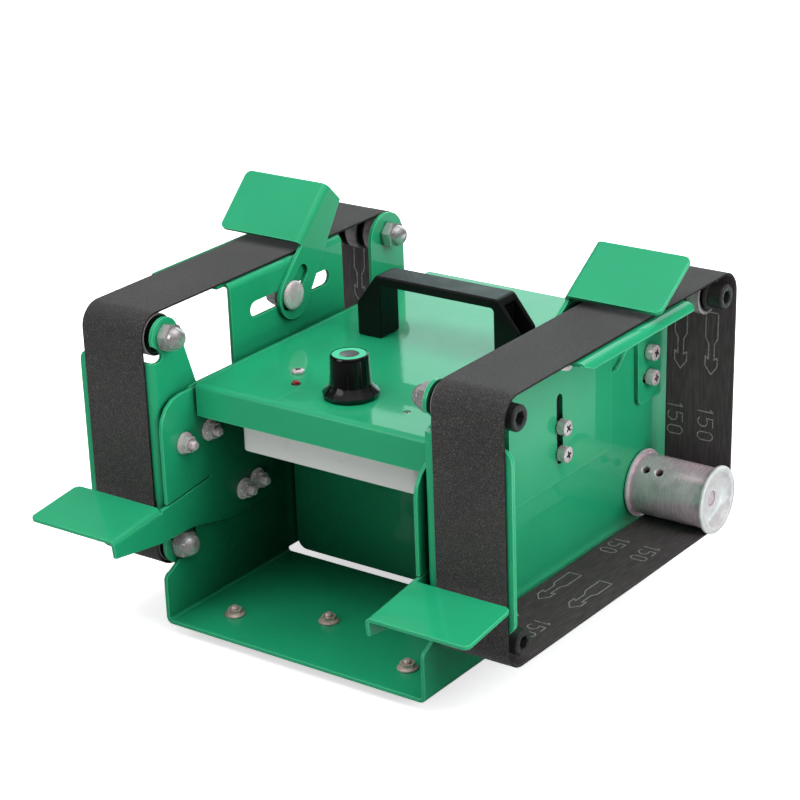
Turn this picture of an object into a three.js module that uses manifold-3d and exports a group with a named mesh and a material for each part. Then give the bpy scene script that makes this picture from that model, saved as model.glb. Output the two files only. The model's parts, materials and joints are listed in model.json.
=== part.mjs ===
// Bench-top belt sander with two sanding heads, one on each side of a folded sheet-metal base.
// Millimetres. +X to the right head, +Y to the rear, +Z up.
// The origin is on the floor, under the middle of the machine's bounding box.

import * as THREE from 'three';
import { mergeVertices } from 'three/addons/utils/BufferGeometryUtils.js';
import Module from 'manifold-3d';

const wasm = await Module();
wasm.setup();

// ---- Driving dimensions -------------------------------------------------------------------
// Inside the model Y is 0 at the front rollers' axis, and Z is 0 at the underside of the base.

const FOOT_HEIGHT = 6;

// Belt, a standard 40 x 680 mm loop
const BELT_WIDTH = 40;
const BELT_LENGTH = 680;
const BELT_THICKNESS = 1.1;
const BELT_INNER_X = { left: 87.4, right: 89 };

// Rollers: three 8 x 22 x 7 mm ball bearings on an M8 bolt, with washers between them
const BEARING_RADIUS = 11;
const BEARING_WIDTH = 7;
const BEARING_COUNT = 3;
const WASHER_THICKNESS = 3;
const WASHER_RADIUS = 6.5;
const ROLLER_X = 87.5;
const RUNNING_GAP = 0.3;

// Places of the belt's four turning points
const FRONT_Y = 0;
const TOP_Z = 153.6;
const BOTTOM_Z = 40;
const WHEEL_Y = 184;
const WHEEL_Z = 43.6;
const WHEEL_DRUM_RADIUS = 16.4;
const WHEEL_FLANGE_RADIUS = 18.5;
const WHEEL_FLANGE = 1.8;
const WHEEL_INNER_X = 85;
const WHEEL_OUTER_X = BELT_INNER_X.right + BELT_WIDTH + 2.4;

// Sheet metal: each sheet lies 0.2 mm from the next
const SHEET = 2.2;
const BEND = 3.6;
const REST_PLATE_X = 77.7;
const WALL_X = 80.1;
const HEAD_PLATE_X = 82.5;
const OUTER_SHEET_X = 84.9;

// M8 and M5 hardware
const M8_RADIUS = 4;
const M8_HOLE = 4.3;
const M8_FLATS = 13;
const M5_RADIUS = 2.5;
const M5_HOLE = 2.8;
const M5_HEAD_RADIUS = 4.25;
const M5_HEAD_HEIGHT = 5;
const AXLE_HEAD_X = 122;
const AXLE_HEAD = 8;

// Base channel
const BASE_FRONT_Y = -15;
const WALL_REAR_Y = 209.5;
const WALL_TOP_Z = 123;
const FLOOR_OPENING = [85, 150];
const SHAFT_OPENING_RADIUS = 12;
const ROLLER_NOTCH = { y: 1, z: 41, radius: 9.5 };
const FOOT_X = 55.5;
const FOOT_Y = { front: 7.5, rear: 190 };

// Motor, lying across the base, and its U-shaped cradle
const MOTOR = { half: 50, radius: 25, endRadius: 22, bossRadius: 9, boss: 3.6 };
const SHAFT_END_X = 127;
const CRADLE = { x: 56.8, low: SHEET + RUNNING_GAP, y: [157, 207], top: 72 };

// Platens
const PLATEN_GAP = 0.4;
const FRONT_PLATEN_Z = [48.2, 141.4];
const FRONT_PLATEN_OUTER_X = 132.1;
const TOP_PLATEN_Y = [49, 150];
const TOP_PLATEN_WEB_Y = 54.5;
const TOP_PLATEN_LOW_Z = 76;
const TOP_PLATEN_OUTER_X = 135;
const TOP_PLATEN_LIP_Z = 160.2;
const BOLT_SLOT_Z = 145;
const BOLT_SLOT_Y = [74.2, 133.8];
const PLATEN_SCREW_Y = 100.2;
const PLATEN_SCREW_Z = [91.2, 105.6];
const SCREW_SLOT_Z = [88, 120.3];

// Front work rest
const TABLE_TILT = THREE.MathUtils.degToRad(7);
const TABLE_REAR_Y = -18;
const TABLE_REAR_Z = 67.1;
const TABLE_LENGTH = 36.6;
const TABLE_OUTER_X = 135.4;
const REST_PLATE_FRONT_Y = -13;

// Top work rest, in its own frame: u along the table, v square to it, the bolt at 0, 0
const REST_TILT = { left: THREE.MathUtils.degToRad(44.2), right: THREE.MathUtils.degToRad(32.5) };
const REST_BOLT_Y = { left: 102, right: 96.5 };
const REST_SLIDE = { left: 0, right: 2 };
const REST_TABLE_U = [24.6, 61.4];
const REST_TABLE_V = 13.8;
const REST_OUTER_X = 137.5;
const REST_SLOT_U = [-5, 14.3];
const REST_END = { u: 0.5, v: -2.7, radius: 12.6 };

// Tension arm
const ARM_HALF_WIDTH = 15.2;
const ARM_LOW_Z = 90;
const ARM_PIVOT = { y: 187, z: 117.7 };
const ARM_CLAMP_Z = 103.7;

// Cover, controller and handle
const COVER_HALF_WIDTH = 75.4;
const COVER_SHEET = 1.8;
const COVER_TOP_Z = 125.6;
const COVER_Y = [12, 220];
const COVER_LIP_Z = 108;
const COVER_REAR_Z = 14;
const KNOB = { x: 3, y: 39.5 };
const LED = { x: -30.9, y: 38.3 };
const COVER_SCREWS = [[-39.7, 51.1], [39.5, 36.4]];
const HANDLE = {
  x: 3.4, y: 113, depth: 17, half: 51, top: 160.6, bar: 5.4, post: 15.2, shoulder: { in: 12.8, down: 16.5 },
};
const JACK = { x: -48, z: 92, radius: 6 };
const BOX = { x: [-54, 57], y: [20, 84], z: [91, 123.4], wall: 2 };

const COLOURS = {
  green: [0x1f9b68, 0.35, 0.1],
  belt: [0x3c3b3b, 0.95, 0],
  steel: [0xb9b6b2, 0.35, 0.9],
  blackSteel: [0x26262a, 0.45, 0.6],
  aluminium: [0xb4b4b4, 0.35, 0.9],
  blackPlastic: [0x161617, 0.4, 0],
  greyPlastic: [0xb5b6b2, 0.6, 0],
  rubber: [0x1c1c1c, 0.9, 0],
  red: [0x9a1414, 0.2, 0],
};

// ---- Solids -------------------------------------------------------------------------------

function toSolid(geometry) {
  const bare = geometry.clone();
  bare.deleteAttribute('normal');
  bare.deleteAttribute('uv');
  const merged = mergeVertices(bare, 1e-4);
  const triVerts = new Uint32Array(merged.index.array);
  const vertProperties = new Float32Array(merged.attributes.position.array);
  if (signedVolume(vertProperties, triVerts) < 0) {
    triVerts.reverse();
  }
  return new wasm.Manifold(new wasm.Mesh({ numProp: 3, vertProperties, triVerts }));
}

function signedVolume(points, triangles) {
  const corner = (i) => new THREE.Vector3().fromArray(points, 3 * triangles[i]);
  let sum = 0;
  for (let i = 0; i < triangles.length; i += 3) {
    sum += corner(i).dot(corner(i + 1).cross(corner(i + 2)));
  }
  return sum / 6;
}

function toGeometry(solid) {
  const mesh = solid.getMesh();
  const geometry = new THREE.BufferGeometry();
  geometry.setAttribute('position', new THREE.BufferAttribute(mesh.vertProperties, 3));
  geometry.setIndex(new THREE.BufferAttribute(mesh.triVerts, 1));
  return geometry;
}

function join(...solids) {
  return solids.reduce((sum, solid) => sum.add(solid));
}

function cut(solid, ...tools) {
  return tools.reduce((rest, tool) => rest.subtract(tool), solid);
}

// An arc's points, from one angle to another in degrees
function arc(a, b, radius, from, to, stepDegrees = 18) {
  const count = Math.max(1, Math.round(Math.abs(to - from) / stepDegrees));
  const points = [];
  for (let i = 0; i <= count; i += 1) {
    const angle = THREE.MathUtils.degToRad(from + ((to - from) * i) / count);
    points.push([a + radius * Math.cos(angle), b + radius * Math.sin(angle)]);
  }
  return points;
}

function circle(a, b, radius, segments = 16) {
  return arc(a, b, radius, 0, 360 - 360 / segments, 360 / segments);
}

// A slot's outline, from one end's centre to the other's
function slot(from, to, radius, segments = 12) {
  const heading = THREE.MathUtils.radToDeg(Math.atan2(to[1] - from[1], to[0] - from[0]));
  const step = 360 / segments;
  return [
    ...arc(to[0], to[1], radius, heading - 90, heading + 90, step),
    ...arc(from[0], from[1], radius, heading + 90, heading + 270, step),
  ];
}

// An outline of corners [a, b] or [a, b, radius], with each stated corner rounded
function rounded(corners, stepDegrees = 22.5) {
  const points = [];
  corners.forEach(([a, b, radius], i) => {
    if (!radius) {
      points.push([a, b]);
      return;
    }
    const here = new THREE.Vector2(a, b);
    const before = cornerAt(corners, i - 1).sub(here).normalize();
    const after = cornerAt(corners, i + 1).sub(here).normalize();
    const half = Math.acos(THREE.MathUtils.clamp(before.dot(after), -1, 1)) / 2;
    const inward = before.clone().add(after).normalize();
    const centre = inward.multiplyScalar(radius / Math.sin(half)).add(here);
    const start = before.multiplyScalar(radius / Math.tan(half)).add(here).sub(centre).angle();
    const end = after.multiplyScalar(radius / Math.tan(half)).add(here).sub(centre).angle();
    let turn = THREE.MathUtils.radToDeg(end - start);
    turn -= 360 * Math.round(turn / 360);
    const first = THREE.MathUtils.radToDeg(start);
    points.push(...arc(centre.x, centre.y, radius, first, first + turn, stepDegrees));
  });
  return points;
}

function cornerAt(corners, i) {
  const [a, b] = corners[(i + corners.length) % corners.length];
  return new THREE.Vector2(a, b);
}

// Lays an outline's prism along an axis, starting at a place on that axis:
// x takes the outline's (a, b) as (y, z), y takes it as (x, z), and z as (x, y)
function layOut(geometry, axis, from, depth) {
  if (axis === 'x') {
    geometry.rotateX(Math.PI / 2);
    geometry.rotateZ(Math.PI / 2);
    geometry.translate(from, 0, 0);
  } else if (axis === 'y') {
    geometry.rotateX(Math.PI / 2);
    geometry.translate(0, from + depth, 0);
  } else {
    geometry.translate(0, 0, from);
  }
  return geometry;
}

// A flat outline given thickness along an axis
function slab(axis, from, to, outline, holes = []) {
  const shape = new THREE.Shape(outline.map(([a, b]) => new THREE.Vector2(a, b)));
  shape.holes = holes.map((hole) => new THREE.Path(hole.map(([a, b]) => new THREE.Vector2(a, b))));
  const depth = Math.abs(to - from);
  const geometry = new THREE.ExtrudeGeometry(shape, { depth, bevelEnabled: false });
  return toSolid(layOut(geometry, axis, Math.min(from, to), depth));
}

function block(x, y, z) {
  const geometry = new THREE.BoxGeometry(x[1] - x[0], y[1] - y[0], z[1] - z[0]);
  geometry.translate((x[0] + x[1]) / 2, (y[0] + y[1]) / 2, (z[0] + z[1]) / 2);
  return toSolid(geometry);
}

// A turned solid: profile points are [along the axis, radius]
function turned(axis, centre, profile, segments = 24) {
  const geometry = new THREE.LatheGeometry(
    profile.map(([along, radius]) => new THREE.Vector2(radius, along)),
    segments,
  );
  if (axis === 'x') {
    geometry.rotateZ(-Math.PI / 2);
    geometry.translate(0, centre[0], centre[1]);
  } else if (axis === 'y') {
    geometry.translate(centre[0], 0, centre[1]);
  } else {
    geometry.rotateX(Math.PI / 2);
    geometry.translate(centre[0], centre[1], 0);
  }
  return toSolid(geometry);
}

// A hexagon across its flats, with flats above and below
function hexagon(a, b, flats) {
  return circle(a, b, flats / Math.sqrt(3), 6);
}

// ---- Belt path ----------------------------------------------------------------------------

// A taut loop around circles that are listed counter-clockwise
function tautLoop(circles) {
  const spans = circles.map((from, i) => {
    const to = circles[(i + 1) % circles.length];
    const distance = Math.hypot(to.y - from.y, to.z - from.z);
    const heading = Math.atan2(to.z - from.z, to.y - from.y);
    const normal = heading - Math.acos((from.radius - to.radius) / distance);
    return { normal, length: Math.sqrt(distance ** 2 - (from.radius - to.radius) ** 2) };
  });
  const points = [];
  let length = 0;
  circles.forEach((wheel, i) => {
    const start = spans[(i + circles.length - 1) % circles.length].normal;
    let turn = spans[i].normal - start;
    turn -= 2 * Math.PI * Math.floor(turn / (2 * Math.PI));
    length += spans[i].length + wheel.radius * turn;
    const first = THREE.MathUtils.radToDeg(start);
    const last = first + THREE.MathUtils.radToDeg(turn);
    points.push(...arc(wheel.y, wheel.z, wheel.radius, first, last, 10));
  });
  return { points, length };
}

function beltCircles(rearY, outward) {
  const idler = BEARING_RADIUS + RUNNING_GAP + outward;
  const wheel = WHEEL_DRUM_RADIUS + RUNNING_GAP + outward;
  return [
    { y: FRONT_Y, z: BOTTOM_Z, radius: idler },
    { y: WHEEL_Y, z: WHEEL_Z, radius: wheel },
    { y: rearY, z: TOP_Z, radius: idler },
    { y: FRONT_Y, z: TOP_Z, radius: idler },
  ];
}

// The rear roller sits where it makes the loop exactly one belt long
function rearRollerY() {
  let low = WHEEL_Y - 40;
  let high = WHEEL_Y + 40;
  for (let i = 0; i < 50; i += 1) {
    const middle = (low + high) / 2;
    if (tautLoop(beltCircles(middle, 0)).length < BELT_LENGTH) {
      low = middle;
    } else {
      high = middle;
    }
  }
  return (low + high) / 2;
}

const REAR_Y = rearRollerY();

// ---- Frame --------------------------------------------------------------------------------

function baseChannel() {
  const outer = WALL_X + SHEET;
  const channel = slab('y', BASE_FRONT_Y, WALL_REAR_Y, rounded([
    [-outer, 0, BEND], [outer, 0, BEND], [outer, WALL_TOP_Z], [WALL_X, WALL_TOP_Z],
    [WALL_X, SHEET, BEND - SHEET], [-WALL_X, SHEET, BEND - SHEET],
    [-WALL_X, WALL_TOP_Z], [-outer, WALL_TOP_Z],
  ]));
  const notch = ROLLER_NOTCH;
  const sideView = slab('x', -outer - 1, outer + 1, [
    [BASE_FRONT_Y, -1], [WALL_REAR_Y, -1], ...arc(WALL_REAR_Y - 6, WALL_TOP_Z - 6, 6, 0, 90),
    ...arc(notch.y + notch.radius + 5, WALL_TOP_Z - 5, 5, 90, 180),
    ...arc(notch.y, notch.z, notch.radius, 0, -115),
    ...arc(BASE_FRONT_Y + 4, 24, 4, 90, 180),
  ]);
  const opening = block([-outer - 1, outer + 1], FLOOR_OPENING, [-1, 4.2]);
  const shaftHole = circle(WHEEL_Y, WHEEL_Z, SHAFT_OPENING_RADIUS);
  const shaftOpening = slab('x', -outer - 1, outer + 1, shaftHole);
  return cut(channel.intersect(sideView), opening, shaftOpening);
}

function bulkhead() {
  const front = FLOOR_OPENING[0] + 2;
  const top = COVER_TOP_Z - COVER_SHEET - RUNNING_GAP;
  const panel = slab('y', front, front + 2, rounded([
    [-COVER_HALF_WIDTH, 4.2, 6], [COVER_HALF_WIDTH, 4.2, 6],
    [COVER_HALF_WIDTH, top], [-COVER_HALF_WIDTH, top],
  ]));
  const flange = block([-COVER_HALF_WIDTH, COVER_HALF_WIDTH], [front, front + 16], [top - 2, top]);
  return join(panel, flange);
}

function motorCradle() {
  const { x, low, y, top } = CRADLE;
  const bracket = slab('y', y[0], y[1], rounded([
    [-x, low, BEND], [x, low, BEND], [x, top], [x - SHEET, top],
    [x - SHEET, low + SHEET, BEND - SHEET], [SHEET - x, low + SHEET, BEND - SHEET],
    [SHEET - x, top], [-x, top],
  ]));
  const sideView = slab('x', -x - 1, x + 1, rounded([
    [y[0], 0], [y[1], 0], [y[1], 40],
    [WHEEL_Y + 12, top, 8], [WHEEL_Y - 12, top, 8], [y[0], 40],
  ]));
  return cut(bracket.intersect(sideView), slab('x', -x - 1, x + 1, circle(WHEEL_Y, WHEEL_Z, 6)));
}

function foot() {
  return turned('z', [0, 0], [[-FOOT_HEIGHT, 0], [-FOOT_HEIGHT, 8], [-0.2, 9.5], [-0.2, 0]], 16);
}

// ---- Drive --------------------------------------------------------------------------------

function motorBody() {
  const { half, radius, endRadius, bossRadius, boss } = MOTOR;
  return turned('x', [WHEEL_Y, WHEEL_Z], [
    [-half - boss, M8_HOLE], [-half - boss, bossRadius], [-half, bossRadius], [-half, endRadius],
    [-half + 3, radius], [half - 3, radius], [half, endRadius], [half, bossRadius],
    [half + boss, bossRadius], [half + boss, M8_HOLE], [-half - boss, M8_HOLE],
  ], 24);
}

function motorShaft() {
  const end = SHAFT_END_X;
  return turned('x', [WHEEL_Y, WHEEL_Z], [
    [-end, 0], [-end, 3.6], [-end + 0.4, M8_RADIUS], [end - 0.4, M8_RADIUS], [end, 3.6], [end, 0],
  ], 16);
}

function driveWheel() {
  const start = WHEEL_INNER_X;
  const end = WHEEL_OUTER_X;
  const drumStart = start + WHEEL_FLANGE;
  const drumEnd = end - WHEEL_FLANGE + 0.3;
  return turned('x', [WHEEL_Y, WHEEL_Z], [
    [start, M8_HOLE], [start, WHEEL_FLANGE_RADIUS], [drumStart, WHEEL_FLANGE_RADIUS],
    [drumStart + 0.3, WHEEL_DRUM_RADIUS], [drumEnd - 0.3, WHEEL_DRUM_RADIUS],
    [drumEnd, WHEEL_FLANGE_RADIUS], [end, WHEEL_FLANGE_RADIUS], [end, 14.5],
    [end - 3.4, 9], [end - 3.4, M8_HOLE], [start, M8_HOLE],
  ], 32);
}

// ---- Sanding head, drawn for the right side -----------------------------------------------

function headPlate() {
  const inner = HEAD_PLATE_X;
  const outer = inner + SHEET;
  const flangeY = FRONT_Y - BEARING_RADIUS - RUNNING_GAP + PLATEN_GAP;
  const [low, high] = FRONT_PLATEN_Z;
  const web = slab('x', inner, outer, [
    ...arc(FRONT_Y, BOTTOM_Z, 11, 150, 270), [FRONT_Y + 12, 24], [204, 24], ...arc(204, 30, 6, -90, 0),
    ...arc(204, 118, 6, 0, 90), ...arc(172, 118, 6, 90, 150), [160, 116], [23, 116],
    ...arc(FRONT_Y, TOP_Z, 10, 16, 195), ...arc(-6, 144.5, 3, 60, -90, 30), [-6.5, high], [-6.5, low],
    ...arc(-7, 44.2, 2, 90, -40, 30),
  ], [
    circle(FRONT_Y, BOTTOM_Z, M8_HOLE), circle(FRONT_Y, TOP_Z, M8_HOLE),
    circle(WHEEL_Y, WHEEL_Z, SHAFT_OPENING_RADIUS),
    ...PLATEN_SCREW_Z.map((z) => circle(PLATEN_SCREW_Y, z, M5_HOLE, 12)),
    circle(ARM_PIVOT.y, ARM_PIVOT.z, M5_HOLE, 12), circle(ARM_PIVOT.y, ARM_CLAMP_Z, M5_HOLE, 12),
  ]);
  const folded = slab('z', low, high, rounded([
    [inner, -5], [inner, flangeY, BEND], [FRONT_PLATEN_OUTER_X, flangeY],
    [FRONT_PLATEN_OUTER_X, flangeY + SHEET], [outer, flangeY + SHEET, BEND - SHEET], [outer, -5],
  ]));
  const frontView = slab('y', -30, 0, rounded([
    [inner - 1, low], [FRONT_PLATEN_OUTER_X, low, 6], [FRONT_PLATEN_OUTER_X, high, 6], [inner - 1, high],
  ]));
  return join(web, folded.intersect(frontView));
}

// A point of the front table's frame: u along the table to the rear, v square to it, upward
function tablePoint(u, v) {
  return [
    TABLE_REAR_Y + u * Math.cos(TABLE_TILT) - v * Math.sin(TABLE_TILT),
    TABLE_REAR_Z + u * Math.sin(TABLE_TILT) + v * Math.cos(TABLE_TILT),
  ];
}

// A sheet folded over an edge: a leg hangs down at the inner side, a table reaches outward at v
function foldedTable(inner, outer, legLow, v, uFrom, uTo) {
  const profile = slab('y', uFrom, uTo, rounded([
    [inner, legLow], [inner + SHEET, legLow], [inner + SHEET, v - SHEET, BEND - SHEET], [outer, v - SHEET],
    [outer, v], [inner, v, BEND],
  ]));
  const topView = slab('z', v - 60, v + 10, rounded([
    [inner - 1, uFrom], [outer, uFrom, 3.5], [outer, uTo, 3.5], [inner - 1, uTo],
  ]));
  return profile.intersect(topView);
}

function restPlate() {
  const web = slab('x', REST_PLATE_X, REST_PLATE_X + SHEET, rounded([
    tablePoint(-TABLE_LENGTH, -10), [-18, 47.6], [6, 47.6, 20], [33, 41.5, 20], [72, 41.5, 6],
    [72, 122.6, 8], [REST_PLATE_FRONT_Y, 122.6, 16], tablePoint(5, -1), tablePoint(40, -1),
    tablePoint(40, -1.8), tablePoint(1, -1.8), tablePoint(0, -BEND), tablePoint(-TABLE_LENGTH, -BEND),
  ]));
  const table = foldedTable(REST_PLATE_X, TABLE_OUTER_X, -9, 0, -TABLE_LENGTH, 0);
  const tilted = table.rotate([THREE.MathUtils.radToDeg(TABLE_TILT), 0, 0]);
  return join(web, tilted.translate([0, TABLE_REAR_Y, TABLE_REAR_Z]));
}

function topPlaten() {
  const inner = OUTER_SHEET_X;
  const top = TOP_Z + BEARING_RADIUS + RUNNING_GAP - PLATEN_GAP;
  const [front, rear] = TOP_PLATEN_Y;
  const folded = slab('y', front, rear, rounded([
    [inner, TOP_PLATEN_LOW_Z], [inner + SHEET, TOP_PLATEN_LOW_Z],
    [inner + SHEET, top - SHEET, BEND - SHEET],
    [TOP_PLATEN_OUTER_X - SHEET, top - SHEET, BEND - SHEET],
    [TOP_PLATEN_OUTER_X - SHEET, TOP_PLATEN_LIP_Z],
    [TOP_PLATEN_OUTER_X, TOP_PLATEN_LIP_Z], [TOP_PLATEN_OUTER_X, top, BEND], [inner, top, BEND],
  ]));
  const sideView = slab('x', inner - 1, TOP_PLATEN_OUTER_X + 1, rounded([
    [front, TOP_PLATEN_LOW_Z, 5], [rear, TOP_PLATEN_LOW_Z, 5], [rear, top + 1], [front, top + 1],
  ]));
  const boltSlot = slot([BOLT_SLOT_Y[0], BOLT_SLOT_Z], [BOLT_SLOT_Y[1], BOLT_SLOT_Z], M8_HOLE);
  const screwSlot = slot([PLATEN_SCREW_Y, SCREW_SLOT_Z[0]], [PLATEN_SCREW_Y, SCREW_SLOT_Z[1]], M5_HOLE);
  const webEnd = block(
    [inner - 1, inner + SHEET + 2],
    [front - 1, TOP_PLATEN_WEB_Y],
    [TOP_PLATEN_LOW_Z - 1, top + 1],
  );
  return cut(
    folded.intersect(sideView),
    slab('x', inner - 1, inner + SHEET + 1, boltSlot),
    slab('x', inner - 1, inner + SHEET + 1, screwSlot),
    webEnd,
    slab('x', TOP_PLATEN_OUTER_X - SHEET - 1, TOP_PLATEN_OUTER_X + 1, [
      [front - 1, TOP_PLATEN_LIP_Z - 1], [front + 9.6, TOP_PLATEN_LIP_Z - 1], [front - 1, top - 1],
    ]),
  );
}

function topRest() {
  const [front, rear] = REST_TABLE_U;
  const web = slab('x', HEAD_PLATE_X, HEAD_PLATE_X + SHEET, [
    ...arc(REST_END.u, REST_END.v, REST_END.radius, 90, 281), [rear, -2.2],
    [rear, REST_TABLE_V - BEND],
  ], [slot([REST_SLOT_U[0], 0], [REST_SLOT_U[1], 0], M8_HOLE)]);
  const legLow = REST_TABLE_V - BEND - 4;
  return join(web, foldedTable(HEAD_PLATE_X, REST_OUTER_X, legLow, REST_TABLE_V, front, rear));
}

function tensionArm() {
  const middle = REAR_Y - 1;
  const front = middle - ARM_HALF_WIDTH;
  const rear = middle + ARM_HALF_WIDTH;
  return slab('x', OUTER_SHEET_X, OUTER_SHEET_X + SHEET, [
    ...arc(front + 4, ARM_LOW_Z + 4, 4, 180, 270, 30), ...arc(rear - 9, ARM_LOW_Z + 9, 9, -90, 0),
    ...arc(middle, TOP_Z - 2.8, ARM_HALF_WIDTH, 0, 180),
  ], [
    circle(REAR_Y, TOP_Z, M8_HOLE), circle(ARM_PIVOT.y, ARM_PIVOT.z, M5_HOLE, 12),
    slot([ARM_PIVOT.y - 3, ARM_CLAMP_Z], [ARM_PIVOT.y, ARM_CLAMP_Z], M5_HOLE + 0.2),
  ]);
}

function sandingBelt(side) {
  const inside = tautLoop(beltCircles(REAR_Y, 0)).points;
  const outside = tautLoop(beltCircles(REAR_Y, BELT_THICKNESS)).points;
  return slab('x', BELT_INNER_X[side], BELT_INNER_X[side] + BELT_WIDTH, outside, [inside]);
}

function bearingRoller() {
  const profile = [];
  for (let i = 0; i < BEARING_COUNT; i += 1) {
    const start = ROLLER_X + i * (BEARING_WIDTH + WASHER_THICKNESS);
    const neck = i === 0 ? M8_HOLE : WASHER_RADIUS;
    profile.push([start, neck], [start, BEARING_RADIUS], [start + BEARING_WIDTH, BEARING_RADIUS]);
    profile.push([start + BEARING_WIDTH, i === BEARING_COUNT - 1 ? M8_HOLE : WASHER_RADIUS]);
  }
  profile.push(profile[0]);
  return turned('x', [0, 0], profile, 20);
}

// A socket-head bolt with its spacer collar next to the head
function axleBolt(nutX) {
  const bearings = BEARING_COUNT * BEARING_WIDTH;
  const washers = (BEARING_COUNT - 1) * WASHER_THICKNESS;
  const collarX = ROLLER_X + bearings + washers + RUNNING_GAP;
  const end = AXLE_HEAD_X + AXLE_HEAD;
  const bolt = turned('x', [0, 0], [
    [nutX - 7, 0], [nutX - 7, M8_RADIUS], [collarX, M8_RADIUS], [collarX, 8],
    [AXLE_HEAD_X, 8], [AXLE_HEAD_X, 6.5], [end - 0.6, 6.5], [end, 5.9], [end, 0],
  ], 16);
  return cut(bolt, slab('x', AXLE_HEAD_X + 4, end + 1, hexagon(0, 0, 6)));
}

// A hole along X for an M8 shank
function bore(from, to) {
  return turned('x', [0, 0], [[from, 0], [from, M8_HOLE], [to, M8_HOLE], [to, 0]], 16);
}

// A domed nut whose open end is at nutX, with the dome pointing inward
function acornNut(nutX) {
  const hex = slab('x', nutX - 5.5, nutX, hexagon(0, 0, M8_FLATS));
  const dome = turned('x', [0, 0], [
    [nutX - 11, 0], [nutX - 10.4, 2.6], [nutX - 8.6, 4.6], [nutX - 6, 5.7],
    [nutX - 5, 5.7], [nutX - 5, 0],
  ], 16);
  return cut(join(hex, dome), bore(nutX - 8, nutX + 1));
}

function carriageBolt() {
  const face = HEAD_PLATE_X - RUNNING_GAP;
  const head = turned('x', [0, 0], [
    [face - 4.4, 0], [face - 4.2, 4], [face - 3.2, 7.5], [face - 1, 10], [face, 10], [face, 0],
  ], 20);
  const neck = slab('x', face - 0.5, face + 2.3, [[-2.6, -3.9], [2.6, -3.9], [2.6, 3.9], [-2.6, 3.9]]);
  const shank = turned('x', [0, 0], [[face, 0], [face, M8_RADIUS], [98, M8_RADIUS], [98, 0]], 12);
  return join(head, neck, shank);
}

function clampNut() {
  const face = OUTER_SHEET_X + SHEET + RUNNING_GAP;
  const flange = turned('x', [0, 0], [
    [face, 0], [face, 8.8], [face + 1.2, 8.8], [face + 2.4, 6.8], [face + 2.4, 0],
  ], 16);
  const hex = slab('x', face + 1, face + 7.6, hexagon(0, 0, M8_FLATS));
  return cut(join(flange, hex), bore(face - 1, face + 9));
}

function sheetScrew() {
  const face = OUTER_SHEET_X + SHEET + RUNNING_GAP;
  const screw = turned('x', [0, 0], [
    [face - 4.6, 0], [face - 4.6, M5_RADIUS], [face, M5_RADIUS], [face, M5_HEAD_RADIUS],
    [face + M5_HEAD_HEIGHT - 0.6, M5_HEAD_RADIUS], [face + M5_HEAD_HEIGHT, M5_HEAD_RADIUS - 0.6],
    [face + M5_HEAD_HEIGHT, 0],
  ], 12);
  return cut(screw, slab('x', face + 2.5, face + M5_HEAD_HEIGHT + 1, hexagon(0, 0, 4)));
}

// ---- Cover, controller and handle ---------------------------------------------------------

function topCover() {
  const [front, rear] = COVER_Y;
  const top = COVER_TOP_Z;
  const t = COVER_SHEET;
  const bent = slab('x', -COVER_HALF_WIDTH, COVER_HALF_WIDTH, rounded([
    [front, COVER_LIP_Z], [front + t, COVER_LIP_Z], [front + t, top - t, 1.2], [rear - t, top - t, 1.2],
    [rear - t, COVER_REAR_Z], [rear, COVER_REAR_Z], [rear, top, 3], [front, top, 3],
  ]));
  const sides = [-1, 1].map((side) => {
    const x = [side * COVER_HALF_WIDTH, side * (COVER_HALF_WIDTH - t)].sort((a, b) => a - b);
    return block(x, [rear - 20, rear - t / 2], [COVER_REAR_Z, top - t / 2]);
  });
  const upright = (x, y, radius) => slab('z', top - 2 * t, top + 1, circle(x, y, radius, 16));
  return cut(
    join(bent, ...sides),
    upright(KNOB.x, KNOB.y, 3.9),
    upright(LED.x, LED.y, 2.6),
    ...COVER_SCREWS.map(([x, y]) => upright(x, y, 2.2)),
    slab('y', rear - 2 * t, rear + 1, circle(JACK.x, JACK.z, JACK.radius + 0.3, 20)),
  );
}

function powerJack() {
  const rear = COVER_Y[1];
  return turned('y', [JACK.x, JACK.z], [
    [rear - 16, 0], [rear - 16, JACK.radius], [rear + 0.3, JACK.radius], [rear + 0.3, 8],
    [rear + 2.3, 7.4], [rear + 2.3, 2.8], [rear - 8, 2.8], [rear - 8, 0],
  ], 16);
}

function controllerBox() {
  const { x, y, z, wall } = BOX;
  const corners = (inset, radius) => rounded([
    [x[0] + inset, y[0] + inset, radius], [x[1] - inset, y[0] + inset, radius],
    [x[1] - inset, y[1] - inset, radius], [x[0] + inset, y[1] - inset, radius],
  ]);
  return cut(slab('z', z[0], z[1], corners(0, 4)), slab('z', z[0] + wall, z[1] + 1, corners(wall, 2)));
}

function potentiometer() {
  const top = COVER_TOP_Z;
  const low = BOX.z[0] + BOX.wall + RUNNING_GAP;
  return turned('z', [KNOB.x, KNOB.y], [
    [low, 0], [low, 8], [top - 8, 8], [top - 8, 3.5], [top + 1.6, 3.5],
    [top + 1.6, 3], [top + 15, 3], [top + 15, 0],
  ], 16);
}

function powerLed() {
  const top = COVER_TOP_Z;
  return turned('z', [LED.x, LED.y], [
    [top - 9, 0], [top - 9, 2.9], [top - 7.8, 2.9], [top - 7.8, 2.3],
    [top + 0.2, 2.3], [top + 1.5, 1.7], [top + 2, 0],
  ], 12);
}

function speedKnob() {
  const foot = COVER_TOP_Z + 0.6;
  return turned('z', [KNOB.x, KNOB.y], [
    [foot, 3.9], [foot, 14.4], [foot + 2.4, 14.4], [foot + 6.2, 10.6], [foot + 21, 9.9], [foot + 22, 9],
    [foot + 22, 0], [foot + 15.2, 0], [foot + 15.2, 3.3], [foot + 1.6, 3.3], [foot + 1.6, 3.9], [foot, 3.9],
  ], 24);
}

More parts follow.
